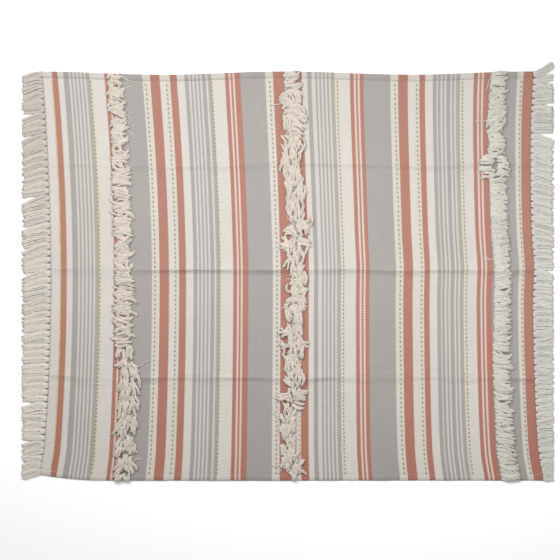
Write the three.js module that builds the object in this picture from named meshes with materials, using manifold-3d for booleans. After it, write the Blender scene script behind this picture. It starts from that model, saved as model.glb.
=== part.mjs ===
// A flat-woven cotton throw laid flat: a striped ground cloth with stitched hems, raised accent
// yarns, three rows of yarn tufts and a tassel fringe on both ends.
// Millimetres, +Z up. +X runs across the stripes, +Y along them, and the floor is at z = 0.
import * as THREE from "three";
import { mergeVertices } from "three/addons/utils/BufferGeometryUtils.js";
import Module from "manifold-3d";

// Cloth
const CLOTH_LENGTH = 1524; // across the stripes, fringe not counted
const CLOTH_WIDTH = 1270; // hem edge to hem edge
const CLOTH_THICKNESS = 2;
const HEM_DEPTH = 20; // edge to seam
const HEM_THICKNESS = 4; // the cloth turned over on itself
const GAP = 0.3; // clearance between pieces that touch
const SEAM_CLEARANCE = 3; // yarns and tufts stop this far inside the seam
const EDGE_STEPS = 120; // straight steps along a bowed edge

// How the laid cloth strays from its cut rectangle
const LEFT_EDGE_PULL = 16; // the middle of the left edge sits this far in
const LEFT_EDGE_FLARE = 28; // and its corners this far back out
const RIGHT_EDGE_PULL = 5;
const RIGHT_EDGE_LEAN = 12; // the right edge leans towards -X at the far side
const RIGHT_CORNER_FLARE = 17;
const FAR_EDGE_WAVE = 5; // the far hem's slow wave
const NEAR_CORNER_LIFT = 19; // the near left corner is drawn in by this much
const NEAR_CORNER_SPAN = 0.28; // over this share of half the length
const INNER_SHIFT = 1.5; // the stripes between the ends lie this far towards +X
const INNER_LEAN = 11; // and lean back towards -X at the far hem
const FOLD_BULGE = 6; // the right edge bulges out beside the middle fold
const FOLD_AT = 0.05; // in shares of half the width
const FOLD_SPAN = 0.12;
const HEM_FLARE = 6.5; // the near hem spreads both ends outwards
const HEM_FLARE_FROM = 0.85; // from this share of half the width

// Yarns that stand proud of the cloth
const YARN_HEIGHT = 0.8;
const HEM_THREAD_WIDTH = 2.4;
const ACCENT_YARNS = [
  { name: "gold_edge_yarn", colour: 0xc99a4e, width: 5, at: [31.5] },
  { name: "olive_edge_yarn", colour: 0xa9a37c, width: 5, at: [155, 533, 923, 1310] },
  { name: "olive_dot_yarn", colour: 0xa9a37c, width: 8, at: [329, 394, 714, 785, 1102, 1169, 1487] },
]; // at: distances from the cloth's left end

// Tuft rows: a chain of clusters, each a thick tangle of cut yarn
const CLUSTERS = 8;
const CLUSTER_STEPS = 3;
const CLUSTER_HEIGHT = 16;
const CLUSTER_ROUNDING = 6;
const ROUNDING_STEPS = 2;
const TUFT_ROWS = [
  { name: "tufts_left", at: 243, halfWidth: 30, lean: 11, base: CLOTH_THICKNESS },
  { name: "tufts_middle", at: 776, halfWidth: 31, lean: 0, base: CLOTH_THICKNESS + GAP + YARN_HEIGHT },
  { name: "tufts_right", at: 1415, halfWidth: 33, lean: 0, base: CLOTH_THICKNESS },
]; // lean: how far the far end's clusters sit towards -X, and the near end's towards +X

// Fringe: tassels in groups, each group joined by a short heading at the cloth's end
const FRINGE_GROUPS = 10;
const GROUP_TASSELS = 6;
const FRINGE_HEIGHT = 4;
const HEADING_DEPTH = 4;
const KNOT = { reach: 9, halfWidth: 4.5 };
const WAIST = { reach: 18, halfWidth: 3 };
const TIP_HALF_WIDTH = 6;
const FRINGE_ENDS = [
  { name: "fringe_left", side: -1, tipX: -835, droop: 16 },
  { name: "fringe_right", side: 1, tipX: 823, droop: 6 },
]; // the tassels' tips lie on a straight line, wherever the cloth's edge bows

const COTTON = 0xded6cc;
const YARN = 0xded4c0;
const HALF_LENGTH = CLOTH_LENGTH / 2;
const HALF_WIDTH = CLOTH_WIDTH / 2;
const SEAM_Y = HALF_WIDTH - HEM_DEPTH;

const wasm = await Module();
wasm.setup();
const object = new THREE.Group();

// Where a point of the cut rectangle lies on the floor.
function lay(x, y) {
  const s = x / HALF_LENGTH;
  const t = y / HALF_WIDTH;
  const left = LEFT_EDGE_PULL - LEFT_EDGE_FLARE * t ** 2;
  const right = RIGHT_CORNER_FLARE * t ** 4 - RIGHT_EDGE_LEAN * t - RIGHT_EDGE_PULL;
  const far = THREE.MathUtils.smoothstep(t, -0.5, 1);
  const near = THREE.MathUtils.smoothstep(-t, 0, 1);
  const corner = Math.max(0, (NEAR_CORNER_SPAN - 1 - s) / NEAR_CORNER_SPAN) ** 2;
  const share = (s + 1) / 2;
  const inner = (INNER_SHIFT - INNER_LEAN * Math.max(t, 0) ** 2) * (1 - s ** 4);
  const bulge = FOLD_BULGE * share ** 2 * Math.exp(-(((t - FOLD_AT) / FOLD_SPAN) ** 2));
  const flare = HEM_FLARE * s * THREE.MathUtils.smoothstep(-t, HEM_FLARE_FROM, 1);
  return new THREE.Vector2(
    x + THREE.MathUtils.lerp(left, right, share) + inner + bulge + flare,
    y + FAR_EDGE_WAVE * Math.cos(2 * Math.PI * s) * far + NEAR_CORNER_LIFT * corner * near,
  );
}

// Evenly spaced values from one to another, both ends included.
function spread(from, to, count) {
  return Array.from({ length: count + 1 }, (_, i) => THREE.MathUtils.lerp(from, to, i / count));
}

// The laid outline of a rectangle of the cut cloth, with bowed sides.
function laidRectangle(x0, x1, y0, y1, stepsX, stepsY) {
  const xs = spread(x0, x1, stepsX);
  const ys = spread(y0, y1, stepsY);
  return [
    ...xs.map((x) => lay(x, y0)),
    ...ys.slice(1).map((y) => lay(x1, y)),
    ...xs.slice(0, -1).reverse().map((x) => lay(x, y1)),
    ...ys.slice(1, -1).reverse().map((y) => lay(x0, y)),
  ];
}

// A flat solid raised from its outline.
function slab(outline, bottom, thickness) {
  const shape = new THREE.Shape(outline);
  const geometry = new THREE.ExtrudeGeometry(shape, { depth: thickness, bevelEnabled: false });
  return geometry.translate(0, 0, bottom);
}

function addMesh(name, geometry, colour) {
  const material = new THREE.MeshStandardMaterial({ color: colour, roughness: 0.95, metalness: 0 });
  const mesh = new THREE.Mesh(geometry, material);
  mesh.name = name;
  object.add(mesh);
}

function toSolid(geometry) {
  geometry.deleteAttribute("normal");
  geometry.deleteAttribute("uv");
  const merged = mergeVertices(geometry);
  return new wasm.Manifold(
    new wasm.Mesh({
      numProp: 3,
      vertProperties: new Float32Array(merged.attributes.position.array),
      triVerts: new Uint32Array(merged.index.array),
    }),
  );
}

function toGeometry(solid) {
  const mesh = solid.getMesh();
  const geometry = new THREE.BufferGeometry();
  geometry.setAttribute("position", new THREE.BufferAttribute(mesh.vertProperties, 3));
  geometry.setIndex(new THREE.BufferAttribute(mesh.triVerts, 1));
  geometry.computeVertexNormals();
  return geometry;
}

// The woven panel, twice as thick along both hems.
function addGroundCloth() {
  const panel = laidRectangle(-HALF_LENGTH, HALF_LENGTH, -HALF_WIDTH, HALF_WIDTH, EDGE_STEPS, EDGE_STEPS);
  let cloth = toSolid(slab(panel, 0, CLOTH_THICKNESS));
  for (const side of [-1, 1]) {
    const y0 = Math.min(side * HALF_WIDTH, side * SEAM_Y);
    const hem = laidRectangle(-HALF_LENGTH, HALF_LENGTH, y0, y0 + HEM_DEPTH, EDGE_STEPS, 1);
    cloth = cloth.add(toSolid(slab(hem, 0, HEM_THICKNESS)));
  }
  addMesh("ground_cloth", toGeometry(cloth), COTTON);
}

// The seam thread of each hem, just inside the turned edge.
function addHemThreads() {
  for (const [name, side] of [["hem_thread_near", -1], ["hem_thread_far", 1]]) {
    const y = side * (SEAM_Y + HEM_THREAD_WIDTH);
    const x = HALF_LENGTH - 1;
    const half = HEM_THREAD_WIDTH / 2;
    const outline = laidRectangle(-x, x, y - half, y + half, EDGE_STEPS, 1);
    addMesh(name, slab(outline, HEM_THICKNESS + GAP, YARN_HEIGHT), COTTON);
  }
}

// Thick coloured yarns that float over the cloth from seam to seam.
function addAccentYarns() {
  const y = SEAM_Y - SEAM_CLEARANCE;
  for (const { name, colour, width, at } of ACCENT_YARNS) {
    at.forEach((distance, i) => {
      const x = distance - HALF_LENGTH;
      const outline = laidRectangle(x - width / 2, x + width / 2, -y, y, 1, EDGE_STEPS);
      const number = at.length > 1 ? `_${i + 1}` : "";
      addMesh(name + number, slab(outline, CLOTH_THICKNESS + GAP, YARN_HEIGHT), colour);
    });
  }
}

// One cluster of a tuft row: a low pillow that follows the row.
function tuftCluster(row, y0, y1) {
  const x = row.at - HALF_LENGTH - (row.lean * (y0 + y1)) / CLOTH_WIDTH;
  const outline = laidRectangle(x - row.halfWidth, x + row.halfWidth, y0, y1, 2, CLUSTER_STEPS);
  const geometry = new THREE.ExtrudeGeometry(new THREE.Shape(outline), {
    depth: CLUSTER_HEIGHT - 2 * CLUSTER_ROUNDING,
    bevelThickness: CLUSTER_ROUNDING,
    bevelSize: CLUSTER_ROUNDING,
    bevelOffset: -CLUSTER_ROUNDING,
    bevelSegments: ROUNDING_STEPS,
  });
  return geometry.translate(0, 0, row.base + GAP + CLUSTER_ROUNDING);
}

function addTuftRows() {
  const end = SEAM_Y - SEAM_CLEARANCE;
  const ys = spread(-end, end, CLUSTERS);
  for (const row of TUFT_ROWS) {
    for (let i = 0; i < CLUSTERS; i++) {
      addMesh(`${row.name}_${i + 1}`, tuftCluster(row, ys[i] + GAP, ys[i + 1] - GAP), YARN);
    }
  }
}

// The outline of one tassel, from its near root round its tip to its far root.
function tasselOutline(end, y) {
  const root = lay(end.side * (HALF_LENGTH + GAP), y);
  const length = Math.abs(end.tipX - root.x);
  const reaches = [HEADING_DEPTH, KNOT.reach, WAIST.reach, length];
  const halfWidths = [WAIST.halfWidth, KNOT.halfWidth, WAIST.halfWidth, TIP_HALF_WIDTH];
  const point = (i, side) => {
    const sag = end.droop * (reaches[i] / length) ** 1.5;
    return new THREE.Vector2(root.x + end.side * reaches[i], root.y - sag + side * halfWidths[i]);
  };
  const corners = [0, 1, 2, 3];
  return [...corners.map((i) => point(i, -1)), ...corners.reverse().map((i) => point(i, 1))];
}

// A group of tassels on a shared heading, like the teeth of a comb.
function fringeGroup(end, y0, y1) {
  const pitch = (y1 - y0) / GROUP_TASSELS;
  const rootX = end.side * (HALF_LENGTH + GAP);
  const teeth = spread(y0 + pitch / 2, y1 - pitch / 2, GROUP_TASSELS - 1);
  const outline = [
    lay(rootX + end.side * HEADING_DEPTH, y0),
    ...teeth.flatMap((y) => tasselOutline(end, y)),
    lay(rootX + end.side * HEADING_DEPTH, y1),
    ...spread(y1, y0, EDGE_STEPS / FRINGE_GROUPS).map((y) => lay(rootX, y)),
  ];
  return slab(outline, 0, FRINGE_HEIGHT);
}

function addFringe() {
  const ys = spread(-HALF_WIDTH, HALF_WIDTH, FRINGE_GROUPS);
  for (const end of FRINGE_ENDS) {
    for (let i = 0; i < FRINGE_GROUPS; i++) {
      addMesh(`${end.name}_${i + 1}`, fringeGroup(end, ys[i] + GAP, ys[i + 1] - GAP), YARN);
    }
  }
}

// Put the origin on the floor, in the middle of the whole footprint.
function centreOnFloor() {
  const middle = new THREE.Box3().setFromObject(object).getCenter(new THREE.Vector3());
  object.position.set(-middle.x, -middle.y, 0);
}

addGroundCloth();
addHemThreads();
addAccentYarns();
addTuftRows();
addFringe();
centreOnFloor();

export default object;
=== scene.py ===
"""A fringed, striped cotton throw with rows of yarn tufts, laid flat and seen from straight above.

The ground cloth is one dense closed mesh: its folds and hems are geometry, and its stripes and
twill are its material. The seam stitches, accent yarns, tufts and tassels are modelled yarn by
yarn. Everything is in metres; u is the distance from the cloth's left end, along +X."""
import math

import bpy
import numpy as np
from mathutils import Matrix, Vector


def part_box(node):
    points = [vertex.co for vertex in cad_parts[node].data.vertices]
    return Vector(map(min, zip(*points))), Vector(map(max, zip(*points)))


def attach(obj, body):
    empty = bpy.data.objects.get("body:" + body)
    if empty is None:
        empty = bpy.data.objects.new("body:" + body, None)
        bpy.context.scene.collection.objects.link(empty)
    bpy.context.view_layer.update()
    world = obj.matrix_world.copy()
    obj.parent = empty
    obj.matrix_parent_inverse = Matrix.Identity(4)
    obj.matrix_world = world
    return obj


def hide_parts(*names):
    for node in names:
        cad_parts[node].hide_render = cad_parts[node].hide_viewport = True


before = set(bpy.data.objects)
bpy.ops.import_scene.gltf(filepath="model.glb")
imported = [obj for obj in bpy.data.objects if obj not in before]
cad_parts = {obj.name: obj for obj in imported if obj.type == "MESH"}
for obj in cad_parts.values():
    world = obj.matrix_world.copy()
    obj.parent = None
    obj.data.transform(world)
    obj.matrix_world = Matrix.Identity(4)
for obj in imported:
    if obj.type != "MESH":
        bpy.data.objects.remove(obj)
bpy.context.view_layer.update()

MM = 0.001

# Cloth, as in the CAD model
CLOTH_LENGTH = 1.524
CLOTH_WIDTH = 1.270
HALF_LENGTH = CLOTH_LENGTH / 2
HALF_WIDTH = CLOTH_WIDTH / 2
HEM_DEPTH = 0.020
SEAM_Y = HALF_WIDTH - HEM_DEPTH

# How the laid cloth strays from its cut rectangle, as in the CAD model
LEFT_EDGE_PULL = 0.016
LEFT_EDGE_FLARE = 0.028
RIGHT_EDGE_PULL = 0.005
RIGHT_EDGE_LEAN = 0.012
RIGHT_CORNER_FLARE = 0.017
FAR_EDGE_WAVE = 0.005
FAR_WAVE_FROM = -0.5  # of the half-width, where the wave starts to grow towards the far hem
NEAR_CORNER_LIFT = 0.019
NEAR_CORNER_SPAN = 0.28
INNER_SHIFT = 0.0015
INNER_LEAN = 0.011
FOLD_BULGE = 0.006
FOLD_AT = 0.05
FOLD_SPAN = 0.12
HEM_FLARE = 0.0065
HEM_FLARE_FROM = 0.85

# Relief of the laid cloth
CLOTH_THICKNESS = 1.7 * MM
HEM_EXTRA = 1.3 * MM
HEM_PILLOW = 2.2 * MM  # how far the hem's middle rises over its edge and its seam
HEM_STEP = 3.0 * MM  # the cloth thickens over this distance at a seam
FOLDED_EDGE = 3.0 * MM  # the hem's edge rounds off over this distance
EDGE_SHARE = 0.06  # of the square of the full thickness, at the very edge
FAR_SEAM_GROOVE = 1.1 * MM
NEAR_SEAM_GROOVE = 0.4 * MM
SEAM_GROOVE_WIDTH = 2.2 * MM
# Quarter folds: y, height, and the stretches, from a u to a u, where the crease is faint
CREASES = (
    (0.348, 4.5 * MM, ((-0.1, 0.42),)),
    (0.0215, 8.0 * MM, ((-0.1, 0.27),)),
    (-0.315, 7.0 * MM, ((-0.1, 0.27), (0.98, 1.42))),
)
FULL_CREASE = 8.0 * MM  # at this height the painted shade beside a crease is full
CREASE_FAR_SIDE = 18.0 * MM  # how gently a crease rises, and how steeply it falls again
CREASE_NEAR_SIDE = 10.0 * MM
CREASE_WANDER = 3.0 * MM
CREASE_UNEVEN = 0.30
FAINT_SHARE = 0.4
FAINT_FADE = 0.08  # over this distance a crease turns faint or full
CREASE_SHADE_PAST = 7.0 * MM  # the band of painted shade lies on the steep side of the crest, where shade falls
CREASE_SHADE_WIDTH = 7.0 * MM
SWELL = 2.4 * MM
SWELL_UNEVEN = 0.45
RUMPLE = 1.3 * MM
RUMPLE_REACH = 0.05  # rumples are full at a crease, and this far from it they have died away
FIELD_RUMPLE = 0.35  # of RUMPLE, all over the cloth
HEM_PUCKER = 0.8 * MM
PUCKER_REACH = 0.03
LEAST_GAP = 0.2 * MM  # between the cloth and the floor

# Cells of the relief's noise: their size along X and along Y
LONG = 9.0  # longer than the cloth
WANDER_CELL = (0.16, LONG)
STRENGTH_CELL = (0.075, LONG)
SWELL_CELL = (0.21, 0.13)
RUMPLE_CELL = (0.055, 0.012)
FIELD_CELL = (0.045, 0.030)
PUCKER_CELL = (0.030, LONG)
NOISE_TABLE = 64  # the noise repeats after this many cells

# Colours, as seen in even light
CREAM = (0.760, 0.736, 0.708)
PALE_GREEN = (0.755, 0.736, 0.672)
OLIVE_GREY = (0.592, 0.573, 0.527)
GREY = (0.572, 0.552, 0.539)
PALE_GREY = (0.735, 0.716, 0.696)
CORAL = (0.618, 0.384, 0.314)
ORANGE_CORAL = (0.620, 0.395, 0.300)
OCHRE = (0.570, 0.410, 0.270)
PALE_CORAL = (0.790, 0.705, 0.668)
OLIVE = (0.660, 0.642, 0.520)
GOLD = (0.860, 0.740, 0.500)
TUFT_YARN = (0.812, 0.772, 0.722)
RIGHT_TUFT_YARN = (0.796, 0.783, 0.738)
LEFT_FRINGE_YARN = (0.826, 0.801, 0.759)
RIGHT_FRINGE_YARN = (0.770, 0.757, 0.731)
THREAD = (0.680, 0.655, 0.620)
# painted shade: the colour that fringe yarns lying in shade are mixed towards
PAINTED_SHADE_COLOUR = (0.460, 0.415, 0.370)

# Stripes in millimetres: (colour, width), from the left end of the cloth
GREY_LINES = [(PALE_GREY, 6.2), (GREY, 6.6)] * 4 + [(PALE_GREY, 6.2)]
START = (
    [(CREAM, 31.5), (OCHRE, 3.0), (ORANGE_CORAL, 15.5), (CREAM, 20.0)]
    + [(GREY, 13.5)] + GREY_LINES + [(OLIVE_GREY, 12.0), (PALE_GREEN, 8.0)]
    + [(CREAM, 39.0), (CORAL, 12.0), (PALE_CORAL, 6.0), (CORAL, 7.0), (PALE_CORAL, 6.0), (CORAL, 8.0)]
    + [(GREY, 79.0)]
)
REPEAT = (
    [(CREAM, 7.0), (PALE_GREEN, 9.0), (CREAM, 6.0), (CORAL, 32.0), (CREAM, 18.0)]
    + [(PALE_GREEN, 9.5), (CREAM, 7.5), (CORAL, 18.5), (CREAM, 22.0)]
    + [(GREY, 13.5)] + GREY_LINES + [(OLIVE_GREY, 12.0), (PALE_GREEN, 8.0)]
    + [(CREAM, 37.0), (CORAL, 12.0), (PALE_CORAL, 6.0), (CORAL, 7.0), (PALE_CORAL, 6.0), (CORAL, 13.0)]
    + [(GREY, 83.0)]
)
FULL_REPEATS = 3
END = [(CREAM, 7.0), (PALE_GREEN, 9.0), (CREAM, 6.0), (CORAL, 60.0)]

# Camera: straight above, framed a little off the cloth's middle
LENS = 85.0
SENSOR = 36.0
FRAME_WIDTH = 1.7455  # on the floor
FRAME_CENTRE = (-0.0304, -0.0100)  # from the cloth's middle


def smooth(x):
    """Smoothstep on an array that is clipped to 0..1."""
    x = np.clip(x, 0.0, 1.0)
    return x * x * (3.0 - 2.0 * x)


def noise(x, y, cell, seed):
    """Smooth noise from -1 to 1 that changes over about one cell, (along X, along Y)."""
    table = np.random.default_rng(seed).uniform(-1.0, 1.0, (NOISE_TABLE, NOISE_TABLE))
    gx, gy = x / cell[0], y / cell[1]
    ix, iy = np.floor(gx).astype(int), np.floor(gy).astype(int)
    fx, fy = smooth(gx - ix), smooth(gy - iy)
    corner = lambda a, b: table[(ix + a) % NOISE_TABLE, (iy + b) % NOISE_TABLE]
    low = corner(0, 0) * (1 - fx) + corner(1, 0) * fx
    high = corner(0, 1) * (1 - fx) + corner(1, 1) * fx
    return low * (1 - fy) + high * fy


def stray(x, y):
    """Where a point of the cut rectangle lies, before the cloth is put in its place."""
    s, t = x / HALF_LENGTH, y / HALF_WIDTH
    left = LEFT_EDGE_PULL - LEFT_EDGE_FLARE * t**2
    right = RIGHT_CORNER_FLARE * t**4 - RIGHT_EDGE_LEAN * t - RIGHT_EDGE_PULL
    far = smooth((t - FAR_WAVE_FROM) / (1.0 - FAR_WAVE_FROM))
    corner = np.maximum(0.0, (NEAR_CORNER_SPAN - 1.0 - s) / NEAR_CORNER_SPAN) ** 2
    share = (s + 1.0) / 2.0
    wave = FAR_EDGE_WAVE * np.cos(2.0 * math.pi * s) * far
    inner = (INNER_SHIFT - INNER_LEAN * np.maximum(t, 0.0) ** 2) * (1.0 - s**4)
    bulge = FOLD_BULGE * share**2 * np.exp(-(((t - FOLD_AT) / FOLD_SPAN) ** 2))
    flare = HEM_FLARE * s * smooth((-t - HEM_FLARE_FROM) / (1.0 - HEM_FLARE_FROM))
    dx = left * (1.0 - share) + right * share + inner + bulge + flare
    return x + dx, y + wave + NEAR_CORNER_LIFT * corner * smooth(-t)


# The cloth's box says where its middle lies: its near corner on the right is its furthest point
# in X, and its near hem its furthest in Y.
cloth_low, cloth_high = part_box("ground_cloth")
ORIGIN_X = cloth_high[0] - float(stray(np.float64(HALF_LENGTH), np.float64(-HALF_WIDTH))[0])
ORIGIN_Y = cloth_low[1] + HALF_WIDTH


def lay(x, y):
    """Where a point of the cut rectangle lies on the floor."""
    px, py = stray(x, y)
    return px + ORIGIN_X, py + ORIGIN_Y


def creases(x, y):
    """For each fold crease: how far past its crest a point is, and how high the crest is there."""
    for i, (crease_y, crease_height, faint_stretches) in enumerate(CREASES):
        fade = 1.0
        for start, end in faint_stretches:
            entered = smooth((x + HALF_LENGTH - start) / FAINT_FADE + 0.5)
            left = smooth((x + HALF_LENGTH - end) / FAINT_FADE + 0.5)
            fade = fade * (1.0 - (1.0 - FAINT_SHARE) * entered * (1.0 - left))
        wander = CREASE_WANDER * noise(x, y, WANDER_CELL, 10 + i)
        strength = 1.0 - CREASE_UNEVEN + CREASE_UNEVEN * noise(x, y, STRENGTH_CELL, 20 + i)
        yield y - crease_y - wander, crease_height * strength * fade


def underside(x, y):
    """Height of the cloth's underside over the floor: swells, fold creases and fine rumples."""
    height = SWELL * (1.0 - SWELL_UNEVEN + SWELL_UNEVEN * noise(x, y, SWELL_CELL, 1))
    for i, (distance, crest) in enumerate(creases(x, y)):
        side = np.where(distance > 0.0, CREASE_FAR_SIDE, CREASE_NEAR_SIDE)
        height = height + crest * np.exp(-np.abs(distance) / side)
        near = np.exp(-((distance / RUMPLE_REACH) ** 2))
        height = height + RUMPLE * near * noise(x, y, RUMPLE_CELL, 30 + i)
    height = height + FIELD_RUMPLE * RUMPLE * noise(x, y, FIELD_CELL, 40)
    hem = np.exp(-((HALF_WIDTH - np.abs(y)) / PUCKER_REACH))
    height = height + HEM_PUCKER * hem * noise(x, y, PUCKER_CELL, 50)
    return np.maximum(height, LEAST_GAP)


def painted_crease_shade(x, y):
    """Painted shade beside the fold creases, on their steep side, from 0 to about 1."""
    share = np.zeros_like(x)
    for distance, crest in creases(x, y):
        band = (distance + CREASE_SHADE_PAST) / CREASE_SHADE_WIDTH
        share = share + crest / FULL_CREASE * np.exp(-(band**2))
    return share


def doubled(y):
    """1 where the cloth is double, inside the hems, and 0 elsewhere."""
    return 1.0 - smooth((HALF_WIDTH - np.abs(y) - HEM_DEPTH) / HEM_STEP + 0.5)


def thickness(y):
    """The cloth is double inside the hems, which are full in their middle, round off at their
    edges and dip along their seams."""
    edge = HALF_WIDTH - np.abs(y)
    pillow = HEM_PILLOW * np.clip(1.0 - (2.0 * edge / HEM_DEPTH - 1.0) ** 2, 0.0, 1.0)
    full = CLOTH_THICKNESS + HEM_EXTRA * doubled(y) + pillow
    inwards = np.clip(edge / FOLDED_EDGE, 0.0, 1.0)
    rounding = np.sqrt(np.clip(1.0 - (1.0 - inwards) ** 2, EDGE_SHARE, 1.0))
    depth = np.where(y > 0.0, FAR_SEAM_GROOVE, NEAR_SEAM_GROOVE)
    groove = depth * np.exp(-(((edge - HEM_DEPTH) / SEAM_GROOVE_WIDTH) ** 2))
    return full * rounding - groove


def top(x, y):
    """Height of the cloth's upper face."""
    return underside(x, y) + thickness(y)


def on_cloth(x, y, above):
    """Laid points at a height above the cloth, as one array."""
    px, py = lay(x, y)
    return np.stack([px, py, top(x, y) + above], axis=-1)


def new_mesh_object(name, vertices, faces, attributes):
    """One object from a vertex array and a list of face arrays, each with one face size."""
    mesh = bpy.data.meshes.new(name)
    mesh.vertices.add(len(vertices))
    mesh.vertices.foreach_set("co", vertices.astype(np.float32).ravel())
    loops = np.concatenate([f.ravel() for f in faces])
    sizes = np.concatenate([np.full(len(f), f.shape[1]) for f in faces])
    mesh.loops.add(len(loops))
    mesh.loops.foreach_set("vertex_index", loops.astype(np.int32))
    mesh.polygons.add(len(sizes))
    starts = np.concatenate([[0], np.cumsum(sizes)[:-1]])
    mesh.polygons.foreach_set("loop_start", starts.astype(np.int32))
    mesh.update(calc_edges=True)
    mesh.shade_smooth()
    for label, values in attributes.items():
        kind, field = ("FLOAT_VECTOR", "vector") if values.ndim == 2 else ("FLOAT", "value")
        layer = mesh.attributes.new(label, kind, "POINT")
        layer.data.foreach_set(field, values.astype(np.float32).ravel())
    obj = bpy.data.objects.new(name, mesh)
    bpy.context.scene.collection.objects.link(obj)
    return obj


def place(obj, material, slot, *nodes):
    """Give a piece its material and its body, and hide the CAD nodes it stands for. The slot is not used.
    """
    obj.data.materials.append(material)
    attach(obj, "root")
    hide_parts(*nodes)
    return obj


# -------- materials


def linear(colour):
    """Scene-linear RGBA of a colour given as it looks on screen."""
    return [c / 12.92 if c <= 0.04045 else ((c + 0.055) / 1.055) ** 2.4 for c in colour] + [1.0]


COTTON_SPECULAR = 0.15
COTTON_SHEEN_ROUGHNESS = 0.6


class Nodes:
    """A material's node tree, with short calls for the nodes that repeat."""

    def __init__(self, name):
        self.material = bpy.data.materials.new(name)
        self.material.use_nodes = True
        self.tree = self.material.node_tree
        self.shader = self.tree.nodes["Principled BSDF"]

    def add(self, kind, inputs=None, **settings):
        node = self.tree.nodes.new(kind)
        for key, value in settings.items():
            setattr(node, key, value)
        for key, value in (inputs or {}).items():
            self.feed(node.inputs[key], value)
        return node

    def feed(self, socket, value):
        if isinstance(value, bpy.types.NodeSocket):
            self.tree.links.new(value, socket)
        else:
            socket.default_value = value

    def maths(self, operation, *values):
        node = self.add("ShaderNodeMath", dict(enumerate(values)), operation=operation)
        return node.outputs[0]

    def mix(self, factor, first, second, blend="MIX"):
        node = self.add("ShaderNodeMix", data_type="RGBA", blend_type=blend)
        self.feed(node.inputs["Factor"], factor)
        self.feed(node.inputs[6], first)
        self.feed(node.inputs[7], second)
        return node.outputs[2]

    def attribute(self, name):
        return self.add("ShaderNodeAttribute", attribute_name=name)

    def noise(self, vector, scale, detail=2.0):
        node = self.add("ShaderNodeTexNoise", {"Vector": vector, "Scale": scale, "Detail": detail})
        return node.outputs["Fac"]

    def remap(self, value, low, high, start=0.0, end=1.0):
        """Low where the value is at its start, high where it is at its end."""
        inputs = {"Value": value, "From Min": start, "From Max": end, "To Min": low, "To Max": high}
        return self.add("ShaderNodeMapRange", inputs).outputs["Result"]

    def shade(self, colour, value, tones):
        """The colour, times the first tone where the value is 0 and the second where it is 1."""
        return self.mix(1.0, colour, self.remap(value, *tones), "MULTIPLY")

    def bump(self, height, strength, distance):
        inputs = {"Height": height, "Strength": strength, "Distance": distance}
        return self.add("ShaderNodeBump", inputs).outputs["Normal"]

    def finish(self, colour, normal, roughness, sheen):
        self.feed(self.shader.inputs["Base Color"], colour)
        self.feed(self.shader.inputs["Normal"], normal)
        self.shader.inputs["Roughness"].default_value = roughness
        self.shader.inputs["Specular IOR Level"].default_value = COTTON_SPECULAR
        self.shader.inputs["Sheen Weight"].default_value = sheen
        self.shader.inputs["Sheen Roughness"].default_value = COTTON_SHEEN_ROUGHNESS
        return self.material


def all_stripes():
    """Every stripe of the cloth as (where it starts, its colour), in metres."""
    stripes, at = [], 0.0
    for colour, width in START + REPEAT * FULL_REPEATS + END:
        stripes.append((at * MM, colour))
        at += width
    return stripes


RAMP_STOPS = 30  # a colour ramp holds 32 at most


def stripe_colour(nodes, u):
    """The stripe colour at u, from a few colour ramps that take over from each other."""
    stripes = all_stripes()
    colour = None
    for first in range(0, len(stripes), RAMP_STOPS):
        group = stripes[first : first + RAMP_STOPS]
        share = nodes.maths("DIVIDE", u, CLOTH_LENGTH)
        ramp = nodes.add("ShaderNodeValToRGB", {"Fac": share})
        ramp.color_ramp.interpolation = "CONSTANT"
        stops = ramp.color_ramp.elements
        while len(stops) > 1:
            stops.remove(stops[-1])
        for i, (at, stripe) in enumerate(group):
            stop = stops[0] if i == 0 else stops.new(min(at / CLOTH_LENGTH, 1.0))
            stop.position = min(at / CLOTH_LENGTH, 1.0)
            stop.color = linear(stripe)
        if colour is None:
            colour = ramp.outputs["Color"]
        else:
            past = nodes.maths("GREATER_THAN", u, group[0][0])
            colour = nodes.mix(past, colour, ramp.outputs["Color"])
    return colour


TWILL_PITCH = 8.6 * MM  # across the cloth
TWILL_SLOPE = 0.7
TWILL_SHOW = 0.24  # how far the cream warp shows along the ribs
SHADED_NEAR_SHOW = 0.08  # at the near hem: less cream shows there, a painted shade that darkens the stripes towards the near hem
TOOTH = 3.2 * MM  # how far the edges of the stripes jut out along the ribs
RIB_RELIEF = 0.6
WEAVE_RELIEF = 0.25
CLOTH_BUMP = 0.55
CLOTH_BUMP_HEIGHT = 0.5 * MM
CLOTH_ROUGHNESS = 0.92
CLOTH_SHEEN = 0.25
FINE = 3.0  # detail of a noise that has finer noise in it
SLUBS_PER_METRE = (400.0, 18.0, 1.0)  # slubs are thin, and long along the stripes
SLUB_TONES = (0.90, 1.06)
PATCHES_PER_METRE = 7.0
PATCH_TONES = (0.95, 1.05)
GRAINS_PER_METRE = 260.0
GRAIN_TONES = (0.78, 1.22)
HEM_SHADE_TONES = (1.0, 0.92)  # painted shade: the double hems are darkened, for the shade over them and for the floor light that a single layer lets through
CREASE_SHADE_TONES = (1.0, 0.79)  # painted shade on the steep side of a crease


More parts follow.
